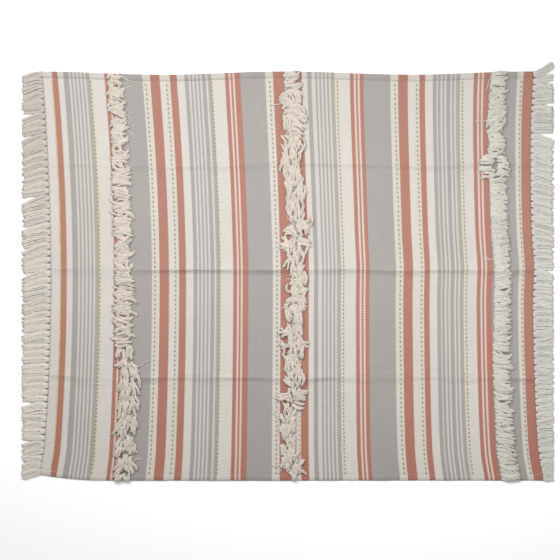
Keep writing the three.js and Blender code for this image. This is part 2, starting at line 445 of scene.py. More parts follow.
def cloth_material():
    """Striped twill: stripes with toothed edges, diagonal ribs of warp over weft, slubs and grain."""
    nodes = Nodes("striped_twill_cotton")
    flat = nodes.attribute("flat").outputs["Vector"]
    split = nodes.add("ShaderNodeSeparateXYZ", {"Vector": flat})
    u, v = split.outputs["X"], split.outputs["Y"]

    tooth = nodes.maths("PINGPONG", v, TWILL_PITCH / 2)
    tooth = nodes.maths("MULTIPLY", tooth, TOOTH / (TWILL_PITCH / 2))
    stripes = stripe_colour(nodes, nodes.maths("ADD", u, tooth))

    diagonal = nodes.maths("ADD", nodes.maths("MULTIPLY", u, TWILL_SLOPE), v)
    rib = nodes.maths("SINE", nodes.maths("MULTIPLY", diagonal, 2 * math.pi / TWILL_PITCH))
    weft = nodes.maths("SINE", nodes.maths("MULTIPLY", u, 4 * math.pi / TWILL_PITCH))
    warp = nodes.maths("SINE", nodes.maths("MULTIPLY", v, 4 * math.pi / TWILL_PITCH))
    weave = nodes.maths("MULTIPLY", nodes.maths("ADD", weft, warp), WEAVE_RELIEF)
    relief = nodes.maths("ADD", nodes.maths("MULTIPLY", rib, RIB_RELIEF), weave)

    ribbed = nodes.maths("ADD", nodes.maths("MULTIPLY", rib, 0.5), 0.5)
    # painted shade: less cream shows towards the near hem, so the stripes darken there
    show = nodes.remap(v, SHADED_NEAR_SHOW, TWILL_SHOW, -HALF_WIDTH, 0.0)
    lit = nodes.mix(nodes.maths("MULTIPLY", ribbed, show), stripes, linear(CREAM))
    slub_space = nodes.add("ShaderNodeVectorMath", {0: flat, 1: SLUBS_PER_METRE}, operation="MULTIPLY")
    slub = nodes.noise(slub_space.outputs["Vector"], 1.0)
    lit = nodes.shade(lit, slub, SLUB_TONES)
    lit = nodes.shade(lit, nodes.noise(flat, PATCHES_PER_METRE, FINE), PATCH_TONES)
    grain = nodes.noise(flat, GRAINS_PER_METRE, FINE)
    lit = nodes.shade(lit, grain, GRAIN_TONES)
    # painted shade over the hems
    lit = nodes.shade(lit, nodes.attribute("doubled").outputs["Fac"], HEM_SHADE_TONES)
    # painted shade beside the fold creases
    lit = nodes.shade(lit, nodes.attribute("painted_crease_shade").outputs["Fac"], CREASE_SHADE_TONES)
    normal = nodes.bump(nodes.maths("ADD", relief, grain), CLOTH_BUMP, CLOTH_BUMP_HEIGHT)
    return nodes.finish(lit, normal, CLOTH_ROUGHNESS, CLOTH_SHEEN)


# painted shade in the grooves between a yarn's plies
PLY_GROOVE_SHADE = 0.80
YARN_TONES = (0.93, 1.05)  # from yarn to yarn
ALONG_TONES = (0.97, 1.03)  # from a yarn's root to its tip
FIBRES_PER_METRE = 1400.0
FIBRE_TONES = (0.96, 1.04)
FIBRE_BUMP = 0.5
FIBRE_BUMP_HEIGHT = 0.3 * MM
YARN_ROUGHNESS = 0.95
YARN_SHEEN = 0.3


def yarn_material(name, colour, ply_shade=0.22):
    """Plied cotton yarn with fine fibres: painted shade in the grooves between its plies, and painted shade
    mixed in by a value per vertex.
    """
    nodes = Nodes(name)
    crest = nodes.attribute("crest").outputs["Fac"]
    tone = nodes.attribute("tone").outputs["Fac"]
    along = nodes.attribute("along").outputs["Fac"]
    painted_shade = nodes.attribute("painted_shade").outputs["Fac"]
    place_on = nodes.add("ShaderNodeTexCoord").outputs["Object"]
    # painted shade: the grooves between plies are darkened where shade falls in them
    groove_shade = linear([channel * PLY_GROOVE_SHADE for channel in colour])
    lit = nodes.mix(nodes.remap(crest, ply_shade, 0.0), linear(colour), groove_shade)
    lit = nodes.shade(lit, tone, YARN_TONES)
    lit = nodes.shade(lit, along, ALONG_TONES)
    # painted shade, mixed in at the heading cords and towards the left fringe's far end
    lit = nodes.mix(painted_shade, lit, linear(PAINTED_SHADE_COLOUR))
    fibre = nodes.noise(place_on, FIBRES_PER_METRE)
    lit = nodes.shade(lit, fibre, FIBRE_TONES)
    return nodes.finish(lit, nodes.bump(fibre, FIBRE_BUMP, FIBRE_BUMP_HEIGHT), YARN_ROUGHNESS, YARN_SHEEN)


# -------- the cloth

LINES_ALONG = 233
LINES_ACROSS = 175  # between the hems
HEM_ZONE = 30 * MM
# Millimetres from the cloth's edge
HEM_LINES = (0.0, 0.7, 1.5, 2.6, 4.5, 7.0, 9.5, 12.0, 14.5, 18.0, 19.0, 20.0, 21.0, 22.0, 23.0, 26.0)
CREASE_LINES = (-24.0, 12.0, 2.0)  # millimetres from a crest: the first, the last and their pitch


def grid_lines():
    """Grid lines across and along the cut cloth, closer together at the hems and the creases."""
    us = np.linspace(-HALF_LENGTH, HALF_LENGTH, LINES_ALONG)
    inner = HALF_WIDTH - HEM_ZONE
    near = -HALF_WIDTH + np.array(HEM_LINES) * MM
    middle = np.linspace(-inner, inner, LINES_ACROSS)
    first, last, pitch = CREASE_LINES
    around = np.arange(first, last + pitch / 2, pitch) * MM
    creased = [crease[0] + around for crease in CREASES]
    field = np.unique(np.concatenate([middle, *creased]))
    return us, np.concatenate([near, field, -near[::-1]])


def make_cloth(material):
    """The ground cloth, one closed mesh: an upper face, an underside and a rim between them."""
    us, vs = grid_lines()
    x, y = np.meshgrid(us, vs, indexing="ij")
    px, py = lay(x, y)
    low = underside(x, y)
    upper = np.stack([px, py, low + thickness(y)], axis=-1).reshape(-1, 3)
    lower = np.stack([px, py, low], axis=-1).reshape(-1, 3)
    count = x.size
    index = np.arange(count).reshape(x.shape)
    quad = lambda i: np.stack([i[:-1, :-1], i[1:, :-1], i[1:, 1:], i[:-1, 1:]], axis=-1).reshape(-1, 4)
    rim = np.concatenate([index[:, 0], index[-1, 1:], index[-2::-1, -1], index[0, -2:0:-1]])
    after = np.roll(rim, -1)
    walls = np.stack([rim + count, after + count, after, rim], axis=-1)
    flat = np.stack([x + HALF_LENGTH, y, np.zeros_like(x)], axis=-1).reshape(-1, 3)
    attributes = {
        "flat": np.tile(flat, (2, 1)),
        "doubled": np.tile(doubled(y).ravel(), 2),
        "painted_crease_shade": np.tile(painted_crease_shade(x, y).ravel(), 2),
    }
    faces = [quad(index), quad(index + count)[:, ::-1], walls]
    cloth = new_mesh_object("woven_cloth", np.concatenate([upper, lower]), faces, attributes)
    return place(cloth, material, "striped_cloth", "ground_cloth")


# -------- yarn

PLIES = 3
YARN_SIDES = 6
UPRIGHT = 0.9  # a yarn that starts steeper than this needs another reference direction
TIGHT_TWIST = {"turn": 0.011, "depth": 0.17}  # length of one turn of the plies, and how they stand out
SOFT_TWIST = {"turn": 0.050, "depth": 0.14}
SLACK_TWIST = {"turn": 0.070, "depth": 0.06}


def across_yarns(paths):
    """Two directions across each yarn at each of its points, carried along it without a twist."""
    tangents = np.gradient(paths, axis=1)
    tangents /= np.linalg.norm(tangents, axis=2, keepdims=True) + 1e-12
    normals = np.empty_like(paths)
    upright = np.abs(tangents[:, :1, 2:]) > UPRIGHT
    reference = np.where(upright, [1.0, 0.0, 0.0], [0.0, 0.0, 1.0])[:, 0]
    for i in range(paths.shape[1]):
        base = reference if i == 0 else normals[:, i - 1]
        along = np.sum(base * tangents[:, i], axis=1, keepdims=True)
        normal = base - along * tangents[:, i]
        normals[:, i] = normal / (np.linalg.norm(normal, axis=1, keepdims=True) + 1e-12)
    return normals, np.cross(tangents, normals)


def sweep(paths, radius, tones, painted_shade, plies):
    """Closed plied yarns along paths (yarn, point, xyz): vertices, faces and shading values."""
    yarns, points, _ = paths.shape
    normals, binormals = across_yarns(paths)
    steps = np.linalg.norm(np.diff(paths, axis=1), axis=2)
    run = np.concatenate([np.zeros((yarns, 1)), np.cumsum(steps, axis=1)], axis=1)
    sides = YARN_SIDES
    around = 2.0 * math.pi * np.arange(sides) / sides
    angle = around[None, None] + 2.0 * math.pi * run[:, :, None] / plies["turn"]
    crest = 0.5 + 0.5 * np.cos(PLIES * around)
    size = radius[:, :, None] * (1.0 + plies["depth"] * (2.0 * crest - 1.0))[None, None]
    rings = paths[:, :, None] + (size * np.cos(angle))[..., None] * normals[:, :, None]
    rings = rings + (size * np.sin(angle))[..., None] * binormals[:, :, None]

    index = np.arange(yarns * points * sides).reshape(yarns, points, sides)
    turned = np.roll(index, -1, axis=2)
    sleeve = [index[:, :-1], turned[:, :-1], turned[:, 1:], index[:, 1:]]
    quads = np.stack(sleeve, axis=-1).reshape(-1, 4)
    caps = np.concatenate([index[:, 0, ::-1], index[:, -1]])
    shape = (yarns, points, sides)
    attributes = {
        "crest": np.broadcast_to(crest, shape).ravel(),
        "tone": np.broadcast_to(tones[:, None, None], shape).ravel(),
        "along": np.broadcast_to((run / run[:, -1:])[:, :, None], shape).ravel(),
        "painted_shade": np.broadcast_to(painted_shade[:, None, None], shape).ravel(),
    }
    return rings.reshape(-1, 3), [quads, caps], attributes


def yarn_object(name, paths, radius, rng, plies=SOFT_TWIST, painted_shade=None):
    """One object of plied yarns, each a little lighter or darker than the next."""
    tones = rng.uniform(0.0, 1.0, len(paths))
    painted_shade = np.zeros(len(paths)) if painted_shade is None else painted_shade
    return new_mesh_object(name, *sweep(paths, radius, tones, painted_shade, plies))


# -------- seam stitches and accent yarns

STITCH_PITCH = 4.2 * MM
STITCH_LENGTH = 3.5 * MM
STITCH_RADIUS = 0.55 * MM
STITCH_POINTS = 5
STITCH_STRAY = 0.15 * MM
STITCH_RISE = 1.1  # of its radius, at a stitch's middle
STITCH_DIP = 4.4
SEAM_END = 4 * MM  # a seam stops this far before the cloth's ends


def make_hem_thread(name, side, material, node):
    """One line of machine stitches along a hem, each a short arc of thread."""
    rng = np.random.default_rng(60 + side)
    at = np.arange(-HALF_LENGTH + SEAM_END, HALF_LENGTH - SEAM_END, STITCH_PITCH)
    share = np.linspace(-0.5, 0.5, STITCH_POINTS)
    x = at[:, None] + share * STITCH_LENGTH
    y = np.full_like(x, side * SEAM_Y) + rng.normal(0.0, STITCH_STRAY, (len(at), 1))
    above = STITCH_RADIUS * (STITCH_RISE - STITCH_DIP * share**2) + np.zeros_like(x)
    radius = np.full_like(x, STITCH_RADIUS)
    thread = yarn_object(name, on_cloth(x, y, above), radius, rng, TIGHT_TWIST)
    return place(thread, material, "hem_thread", node)


ACCENT_END = 5 * MM  # an accent yarn stops this far before the seams
HUMP_POINTS = 7
HUMP_LENGTHS = (0.85, 1.15)
HUMP_SLANT = (0.6, 0.5)  # mean and spread, in millimetres
HUMP_STRAY = 0.3 * MM
HUMP_RISE = 0.7  # of its radius, at a hump's middle
HUMP_DIP = 4.0
HUMP_TAPER = 2.4


def make_accent_yarn(name, at, material, slot, node, humps, seed):
    """One accent yarn: it floats over the cloth in short humps and dips under it between them."""
    rng = np.random.default_rng(seed)
    pitch, length, radius = humps["pitch"], humps["length"], humps["radius"]
    inside = SEAM_Y - ACCENT_END
    ys = np.arange(-inside, inside, pitch)
    share = np.linspace(-0.5, 0.5, HUMP_POINTS)
    y = ys[:, None] + share * length * rng.uniform(*HUMP_LENGTHS, (len(ys), 1))
    slant = share * rng.normal(*HUMP_SLANT, (len(ys), 1)) * MM
    x = np.full_like(y, at - HALF_LENGTH) + slant + rng.normal(0.0, HUMP_STRAY, (len(ys), 1))
    above = radius * (HUMP_RISE - HUMP_DIP * share**2) + np.zeros_like(x)
    thick = radius * (1.0 - HUMP_TAPER * share**2) + np.zeros_like(x)
    yarn = yarn_object(name, on_cloth(x, y, above), thick, rng, TIGHT_TWIST)
    return place(yarn, material, slot, node)


# Where the accent yarns run, as u
GOLD_EDGE_AT = 0.0330
OLIVE_EDGES_AT = (0.155, 0.533, 0.923, 1.310)
OLIVE_DOTS_AT = (0.329, 0.394, 0.714, 0.785, 1.102, 1.169, 1.487)

GOLD_HUMPS = {"pitch": 7.6 * MM, "length": 5.4 * MM, "radius": 2.3 * MM}
EDGE_HUMPS = {"pitch": 12.4 * MM, "length": 6.8 * MM, "radius": 2.2 * MM}
DOT_HUMPS = {"pitch": 14.6 * MM, "length": 7.6 * MM, "radius": 2.2 * MM}
SUNK_YARN = "olive_dot_yarn_4"  # beside the middle tuft row, where the dots are faint
SUNK_HUMPS = {"pitch": 14.6 * MM, "length": 5.6 * MM, "radius": 1.5 * MM}


def make_accent_yarns(gold, olive):
    """The gold yarn, the olive yarns along the grey sets and the dotted olive yarns."""
    gold_edge = ("gold_edge", GOLD_EDGE_AT, gold, "gold_yarn", "gold_edge_yarn", GOLD_HUMPS, 70)
    yarns = [make_accent_yarn(*gold_edge)]
    for kind, places, humps, seed in (
        ("edge", OLIVE_EDGES_AT, EDGE_HUMPS, 80),
        ("dot", OLIVE_DOTS_AT, DOT_HUMPS, 90),
    ):
        for i, at in enumerate(places, start=1):
            node = f"olive_{kind}_yarn_{i}"
            shape = SUNK_HUMPS if node == SUNK_YARN else humps
            yarns.append(make_accent_yarn(f"{node}_humps", at, olive, "olive_yarn", node, shape, seed + i))
    return yarns


# -------- locks of yarn

STRAND_UNEVEN = 0.2  # of the spacing of a lock's strands around it
STRAND_WANDER = (0.25, 1.0)  # of loose
STRAND_WAVES = (1.5, 4.0)
RAGGED = (-0.10, 0.03)  # how far strands end before or past their lock's tip, in its lengths


def lock_strands(spine, rise, half_width, half_height, strands, twist, loose, rng):
    """The strands of locks of yarn. Each lock follows a flat spine (lock, point, xy) at a height
    over what it lies on, and its strands lie side by side around an oval section. loose is how
    far they stray from it."""
    locks, points, _ = spine.shape
    share = np.linspace(0.0, 1.0, points)
    tangent = np.gradient(spine, axis=1)
    tangent /= np.linalg.norm(tangent, axis=2, keepdims=True) + 1e-12
    normal = np.stack([-tangent[..., 1], tangent[..., 0]], axis=-1)
    turn = (np.arange(strands) + rng.uniform(-STRAND_UNEVEN, STRAND_UNEVEN, (locks, strands))) / strands
    angle = 2.0 * math.pi * turn[..., None] + twist[:, None, None] * share
    wander = rng.uniform(*STRAND_WANDER, (locks, strands, 1)) * loose
    waves = rng.uniform(*STRAND_WAVES, (locks, strands, 1))
    wave = np.sin(2.0 * math.pi * (waves * share + turn[..., None]))
    across = half_width[:, None] * np.cos(angle) + wander * wave
    up = half_height[:, None] * np.sin(angle)
    ragged = rng.uniform(*RAGGED, (locks, strands, 1)) * share**2
    lengths = np.sum(np.linalg.norm(np.diff(spine, axis=1), axis=2), axis=1)[:, None, None]
    flat = spine[:, None] + across[..., None] * normal[:, None]
    flat = flat + (ragged * lengths)[..., None] * tangent[:, None, -1:]
    height = rise[:, None] + up
    paths = np.concatenate([flat, height[..., None]], axis=-1)
    return paths.reshape(locks * strands, points, 3)


def curved_spines(x, y, heading, bend, wave, length, points, rng):
    """Flat spines of one length each that set off in a heading and bend evenly, with a slight wave."""
    share = np.linspace(0.0, 1.0, points)[None]
    start = rng.uniform(0.0, 2.0 * math.pi, (len(x), 1))
    angle = heading[:, None] + bend[:, None] * share + wave * np.sin(2.0 * math.pi * share + start)
    step = length[:, None] / (points - 1)
    dx = np.cumsum(np.cos(angle) * step, axis=1)
    dy = np.cumsum(np.sin(angle) * step, axis=1)
    return np.stack([x[:, None] + dx, y[:, None] + dy], axis=-1)


# -------- tufts

CLUSTERS = 8
CLUSTER_BUNDLES = 18
BUNDLE_LOCKS = 3
BUNDLE_SPACING = 6.4 * MM  # between the locks of one bundle
LOCK_STRANDS = 6
LOCK_POINTS = 12
LOCK_HALF_WIDTH = 2.9 * MM
LOCK_HALF_HEIGHT = 2.0 * MM
LOCK_LOOSE = 0.8 * MM
TUFT_RADIUS = 1.75 * MM
STRAY_RADIUS = 1.9 * MM
TUFT_END = HALF_WIDTH - 10 * MM
LOCK_ASIDE = 1 * MM  # spread of the locks' places in their bundle
LOCK_BACK = (0.0, 3 * MM)
LOCK_TURN = 0.25  # spread of how far locks turn, in radians
LOCK_LENGTHS = (0.82, 1.06)
TYPICAL_HALF_WIDTH = 0.030  # of a row, which its locks' lengths are given for
BUNDLE_STEPS = (0.3, 0.7)  # where in its step along the row a bundle is rooted
LOCK_WAVE = 0.22
ARCH = (0.10, 0.82)  # a lock starts this far into half a wave, and takes this much of it
BUNDLE_LIFT = (1.0, 6.0)  # millimetres
LOCK_LIFT = (0.0, 4.0)
LEAST_RISE = 2.2 * MM
LOCK_TAPER = 0.3
LOCK_WIDTHS = (0.8, 1.2)
LOCK_TWIST = 1.2
YARN_SIZES = (0.85, 1.15)
TIP_SIZE = 0.8  # of a yarn's radius
STRAY_SPREAD = 25.0  # degrees
STRAY_LENGTHS = (0.050, 0.066)
STRAY_TURN = 1.1
STRAY_WAVE = 0.5
STRAY_ROOT = 9.0 * MM  # the height that a loose yarn drops from
STRAY_DROP = 1.6  # above 1, it lies down before its tip
STRAY_HEIGHT = 1.5 * MM

# How the bundles of a stretch of a row lie. sources: where bundles are rooted, in half-widths of
# the row, their heading in degrees and how far they turn by their tips. fan: how far headings
# spread, in degrees. splay: how far a bundle's own locks spread, in radians. curl: how strongly a
# bundle turns back from its own spread. gather: how far apart the points are that bundles spring
# from, and how far bundles are drawn to them.
KNOTS = {
    "sources": [(-0.8, 44, -2.3), (0.75, 150, 1.9), (-0.5, -30, 1.8), (0.8, 205, -1.7), (-0.9, 12, -0.5)],
    "fan": 20, "splay": 0.13, "curl": 1.0, "gather": (0.050, 0.30), "length": 0.055,
}
WRAP = {
    "sources": [(-0.95, 26, -0.9), (0.95, 160, 0.7), (-0.85, -12, 0.5), (0.9, 204, -1.0), (-0.5, 48, -1.6)],
    "fan": 20, "splay": 0.13, "curl": 1.2, "gather": None, "length": 0.060,
}
FAN = {
    "sources": [
        (-0.35, -104, 0.3), (0.40, -68, -0.6), (0.0, -92, 0.0), (-0.45, -120, 0.6), (0.55, -55, -0.9),
        (0.2, -84, 0.5), (-0.2, -98, -0.5),
    ],
    "fan": 20, "splay": 0.28, "curl": 0.6, "gather": (0.060, 0.30), "length": 0.046,
}
BOW = {
    "sources": [
        (-0.75, -62, -0.5), (0.1, 72, 0.5), (0.1, -60, -0.6), (-0.3, 118, -0.5), (0.6, -108, 0.4),
        (0.2, 100, -0.6), (-0.3, -92, 0.5), (0.5, 62, 0.9), (-0.2, -125, 0.7), (-0.7, 80, 0.3),
    ],
    "fan": 20, "splay": 0.20, "curl": 1.0, "gather": (0.105, 0.45), "length": 0.052,
}
COIL = {
    "sources": [(-0.85, 88, -3.2), (0.85, -92, -3.2), (-0.45, 84, -3.6), (0.45, -96, -3.6)],
    "fan": 8, "splay": 0.08, "curl": 0.0, "gather": (0.058, 0.80), "length": 0.072,
}
ARCS = {
    "sources": [(-0.85, 52, -1.9), (-0.6, 42, -1.8)],
    "fan": 12, "splay": 0.10, "curl": 1.0, "gather": None, "length": 0.066,
}
SPRAY = {
    "sources": [(-0.1, 168, 0.5), (0.1, 12, -0.5), (-0.2, 202, -0.3), (0.2, -24, 0.3), (0.0, 140, 0.6)],
    "fan": 24, "splay": 0.16, "curl": 0.6, "gather": None, "length": 0.040,
}
COMB = {
    "sources": [(-0.9, 4, -0.4), (-0.85, -6, 0.3)],
    "fan": 13, "splay": 0.14, "curl": 1.4, "gather": None, "length": 0.058,
}
SLOPED_COMB = {
    "sources": [(-0.9, -16, 0.3), (-0.85, -26, 0.2)],
    "fan": 12, "splay": 0.14, "curl": 1.4, "gather": None, "length": 0.060,
}

# Each row, from the far hem to the near one: its middle line and half-width as (share of the
# row, value), its lies as (share of the row where the lie ends, lie), and its loose single yarns:
# how many a cluster has and where they head, in degrees.
TUFT_ROWS = {
    "tufts_left": {
        "middle": [(0.0, 0.233), (0.1, 0.233), (0.2, 0.228), (0.66, 0.228), (0.72, 0.252), (1.0, 0.251)],
        "half_width": [
            (0.0, 0.021), (0.05, 0.028), (0.65, 0.028), (0.69, 0.022), (0.73, 0.029), (1.0, 0.026),
        ],
        "lies": [(0.24, KNOTS), (0.40, WRAP), (0.50, KNOTS), (0.67, WRAP), (1.0, FAN)],
        "strays": 1.4, "stray_heading": 20,
    },
    "tufts_middle": {
        "middle": [
            (0.0, 0.782), (0.10, 0.780), (0.21, 0.770), (0.35, 0.784), (0.43, 0.771), (0.52, 0.782),
            (0.62, 0.765), (0.77, 0.770), (0.84, 0.751), (0.95, 0.752), (1.0, 0.775),
        ],
        "half_width": [
            (0.0, 0.028), (0.11, 0.031), (0.21, 0.034), (0.32, 0.026), (0.41, 0.033), (0.55, 0.026),
            (0.65, 0.034), (0.73, 0.024), (0.80, 0.034), (0.85, 0.021), (1.0, 0.022),
        ],
        "lies": [
            (0.03, KNOTS), (0.075, COIL), (0.145, ARCS), (0.385, BOW), (0.43, SPRAY), (0.53, BOW),
            (0.585, COIL), (0.64, BOW), (0.67, SPRAY), (0.77, BOW), (0.82, SPRAY), (1.0, BOW),
        ],
        "strays": 1.2, "stray_heading": 150,
    },
    "tufts_right": {
        "middle": [
            (0.0, 1.415), (0.05, 1.418), (0.12, 1.410), (0.17, 1.416), (0.22, 1.408), (0.27, 1.415),
            (0.4, 1.416), (0.53, 1.421), (0.7, 1.417), (1.0, 1.420),
        ],
        "half_width": [
            (0.0, 0.025), (0.05, 0.028), (0.12, 0.032), (0.17, 0.027), (0.22, 0.034), (0.27, 0.028),
            (1.0, 0.029),
        ],
        "lies": [
            (0.03, COMB), (0.07, KNOTS), (0.10, COMB), (0.16, KNOTS), (0.20, COMB), (0.25, SPRAY),
            (0.68, COMB), (1.0, SLOPED_COMB),
        ],
        "strays": 0.6, "stray_heading": 180,
    },
}


def interpolate(points, share):
    """Values between (share, value) points."""
    shares, values = zip(*points)
    return np.interp(share, shares, values)


def lie_at(row, share):
    """How bundles lie at a share of a row."""
    return next(lie for end, lie in row["lies"] if share <= end)


def bundle_starts(row, at, number, rng):
    """The starts of one bundle's locks: (x, y, heading, turn, length) rows."""
    share = min(max(0.5 - at / (2 * TUFT_END), 0.0), 1.0)
    lie = lie_at(row, share)
    root, heading, turn = lie["sources"][number % len(lie["sources"])]
    if lie["gather"]:
        spacing, drawn = lie["gather"]
        knot = (round(at / spacing - 0.5) + 0.5) * spacing
        at = at + drawn * (knot - at)
    fan = math.radians(lie["fan"]) * rng.uniform(-1.0, 1.0)
    half_width = interpolate(row["half_width"], share)
    middle = interpolate(row["middle"], share) - HALF_LENGTH
    heading = math.radians(heading) + fan
    aside = BUNDLE_SPACING * (np.arange(BUNDLE_LOCKS) - (BUNDLE_LOCKS - 1) / 2)
    aside = aside + rng.normal(0.0, LOCK_ASIDE, BUNDLE_LOCKS)
    back = rng.uniform(*LOCK_BACK, BUNDLE_LOCKS)
    x = middle + root * half_width - aside * math.sin(heading) - back * math.cos(heading)
    y = at + aside * math.cos(heading) - back * math.sin(heading)
    headings = heading + rng.normal(0.0, lie["splay"], BUNDLE_LOCKS)
    turns = turn - lie["curl"] * fan + rng.normal(0.0, LOCK_TURN, BUNDLE_LOCKS)
    lengths = lie["length"] * half_width / TYPICAL_HALF_WIDTH * rng.uniform(*LOCK_LENGTHS, BUNDLE_LOCKS)
    return np.stack([x, y, headings, turns, lengths], axis=-1)


def stray_strands(row, y, rng):
    """Single yarns that have worked loose and curl out over the cloth."""
    share = 0.5 - y / (2 * TUFT_END)
    x = interpolate(row["middle"], share) - HALF_LENGTH
    heading = np.radians(row["stray_heading"] + rng.normal(0.0, STRAY_SPREAD, len(y)))
    length = rng.uniform(*STRAY_LENGTHS, len(y))
    turn = rng.normal(0.0, STRAY_TURN, len(y))
    spine = curved_spines(x, y, heading, turn, STRAY_WAVE, length, LOCK_POINTS, rng)
    drop = STRAY_ROOT * (1.0 - smooth(np.linspace(0.0, STRAY_DROP, LOCK_POINTS)))
    height = np.broadcast_to(drop + STRAY_HEIGHT, (len(y), LOCK_POINTS))
    return np.concatenate([spine, height[..., None]], axis=-1)


def bundle_strands(row, places, rng):
    """The strands of the bundles that are rooted at some places along a row."""
    starts = np.concatenate([bundle_starts(row, at, i, rng) for i, at in enumerate(places)])
    x, y, heading, turn, length = starts.T
    spines = curved_spines(x, y, heading, turn, LOCK_WAVE, length, LOCK_POINTS, rng)
    arch = np.sin(math.pi * (ARCH[0] + ARCH[1] * np.linspace(0.0, 1.0, LOCK_POINTS)))
    bundle_lift = np.repeat(rng.uniform(*BUNDLE_LIFT, CLUSTER_BUNDLES), BUNDLE_LOCKS)
    lift = bundle_lift + rng.uniform(*LOCK_LIFT, len(x))
    rise = LEAST_RISE + lift[:, None] * MM * arch
    fullness = 1.0 - LOCK_TAPER + LOCK_TAPER * arch
    half_width = LOCK_HALF_WIDTH * fullness * rng.uniform(*LOCK_WIDTHS, (len(x), 1))
    half_height = LOCK_HALF_HEIGHT * fullness * np.ones((len(x), 1))
    twist = rng.normal(0.0, LOCK_TWIST, len(x))
    return lock_strands(spines, rise, half_width, half_height, LOCK_STRANDS, twist, LOCK_LOOSE, rng)


def make_cluster(row_name, row, number, material, seed):
    """One cluster of a tuft row."""
    rng = np.random.default_rng(seed)
    step = 2 * TUFT_END / CLUSTERS
    near = -TUFT_END + (number - 1) * step
    steps = np.arange(CLUSTER_BUNDLES) + rng.uniform(*BUNDLE_STEPS, CLUSTER_BUNDLES)
    locks = bundle_strands(row, near + step * steps / CLUSTER_BUNDLES, rng)
    strays = stray_strands(row, rng.uniform(near, near + step, rng.poisson(row["strays"])), rng)
    paths = np.concatenate([locks, strays])
    thick = np.repeat([TUFT_RADIUS, STRAY_RADIUS], [len(locks), len(strays)])
    inside = np.clip(paths[..., 1], -HALF_WIDTH, HALF_WIDTH)
    above = np.maximum(paths[..., 2], thick[:, None])
    laid = on_cloth(paths[..., 0], inside, above)
    taper = np.linspace(1.0, TIP_SIZE, LOCK_POINTS)
    radius = (thick * rng.uniform(*YARN_SIZES, len(laid)))[:, None] * taper
    name = f"{row_name}_{number}"
    tuft = yarn_object(f"{name}_yarn", laid, radius, rng)
    return place(tuft, material, "tuft_yarn", name)


def make_tufts(materials):
    """All clusters of all rows, each row in its own material."""
    return [
        make_cluster(name, row, number, materials[name], 1000 * i + number)
        for i, (name, row) in enumerate(TUFT_ROWS.items(), start=1)
        for number in range(1, CLUSTERS + 1)
    ]


# -------- fringe

GROUPS = 10
GROUP_TASSELS = 6
TASSEL_PITCH = CLOTH_WIDTH / (GROUPS * GROUP_TASSELS)
TASSEL_STRANDS = 14
TASSEL_POINTS = 15
TASSEL_HALF_HEIGHT = 2.6 * MM
TASSEL_LOOSE = 0.4 * MM
TASSEL_RADIUS = 2.3 * MM
TIP_GAP = 2.0 * MM
PARTING_REACH = 22.0 * MM
UNDER_EDGE = 2.0 * MM  # the strands come out from inside the cloth's end
HEADING_OUT = 2.6 * MM  # the cord that ties the tassels runs this far past the cloth's end
HEADING_RADIUS = 2.4 * MM
OFF_FLOOR = 1.25  # how high the middle of the lowest yarns lies, in their radii
SAG_SPREAD = 1.8 * MM
SWAY = 2.2 * MM
SWAY_WAVES = 0.9
SAG_CURVE = 1.4  # above 1, tassels bend more towards their tips
TASSEL_START = 0.78  # of its pitch, how wide a tassel is where it is tied
TASSEL_SPREAD = 0.44  # and how much wider it is past its first quarter
TASSEL_WIDTHS = (0.82, 1.16)
TASSEL_HEIGHTS = (1.2, 0.5)  # of its half-height: where it is tied, and how much less at its tip
TASSEL_RISE = (0.55, 1.3)  # how high its middle lies, in its half-heights and its yarns' radii
TASSEL_TWIST = (0.1, 0.7)

# Each end: which way it points, where its tips line up, how far its tassels' tips sag towards the
# near hem, as (share of the width from the near hem, sag), how much painted shade darkens them in
# the same way, and where its tassels part, as (number of tassels from the near hem, how far the tips
# lean away in millimetres).
FRINGE_ENDS = {
    "fringe_left": {
        "side": -1,
        "tip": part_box("fringe_left_5")[0][0],
        "sag": [
            (0.0, 0.012), (0.1, 0.004), (0.3, 0.006), (0.45, 0.022), (0.6, 0.026), (0.8, 0.020),
            (1.0, 0.012),
        ],
        # painted shade: the left fringe darkens towards its far end, where less light falls on it
        "painted_shading": [(0.0, 0.04), (0.15, 0.0), (0.44, 0.10), (0.62, 0.16), (0.85, 0.34)],
        "partings": [
            (5, 6), (11, 9), (17, 5), (22, 7), (27, 5), (31, 6), (35, 12), (38, 9), (42, 11), (47, 10),
            (51, 6), (54, 9), (58, 7),
        ],
    },
    "fringe_right": {
        "side": 1,
        "tip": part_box("fringe_right_5")[1][0],
        "sag": [
            (0.0, 0.0), (0.2, -0.008), (0.45, 0.003), (0.78, 0.018), (0.84, 0.012), (0.88, -0.002),
            (0.978, -0.009), (0.99, -0.032),
        ],
        "painted_shading": [(0.0, 0.0)],
        "partings": [(8, 7), (14, 4), (20, 7), (26, 4), (31, 7), (38, 5), (44, 4), (51, 13), (55, 5)],
    },
}


def heading_cord(side, first):
    """The cord along the cloth's end that a group's tassels are tied over."""
    y = np.linspace(first, first + GROUP_TASSELS * TASSEL_PITCH, TASSEL_POINTS)
    x, y = lay(np.full(TASSEL_POINTS, side * HALF_LENGTH), y)
    height = np.full(TASSEL_POINTS, OFF_FLOOR * HEADING_RADIUS)
    return np.stack([x + side * HEADING_OUT, y, height], axis=-1)[None]


def parted(end, y):
    """How far tassels' tips lean along Y, away from the partings of their end."""
    lean = np.zeros_like(y)
    for tassels, parting in end["partings"]:
        away = y - (tassels * TASSEL_PITCH - HALF_WIDTH)
        lean = lean + parting * MM * np.sign(away) * np.exp(-np.abs(away) / PARTING_REACH)
    return lean


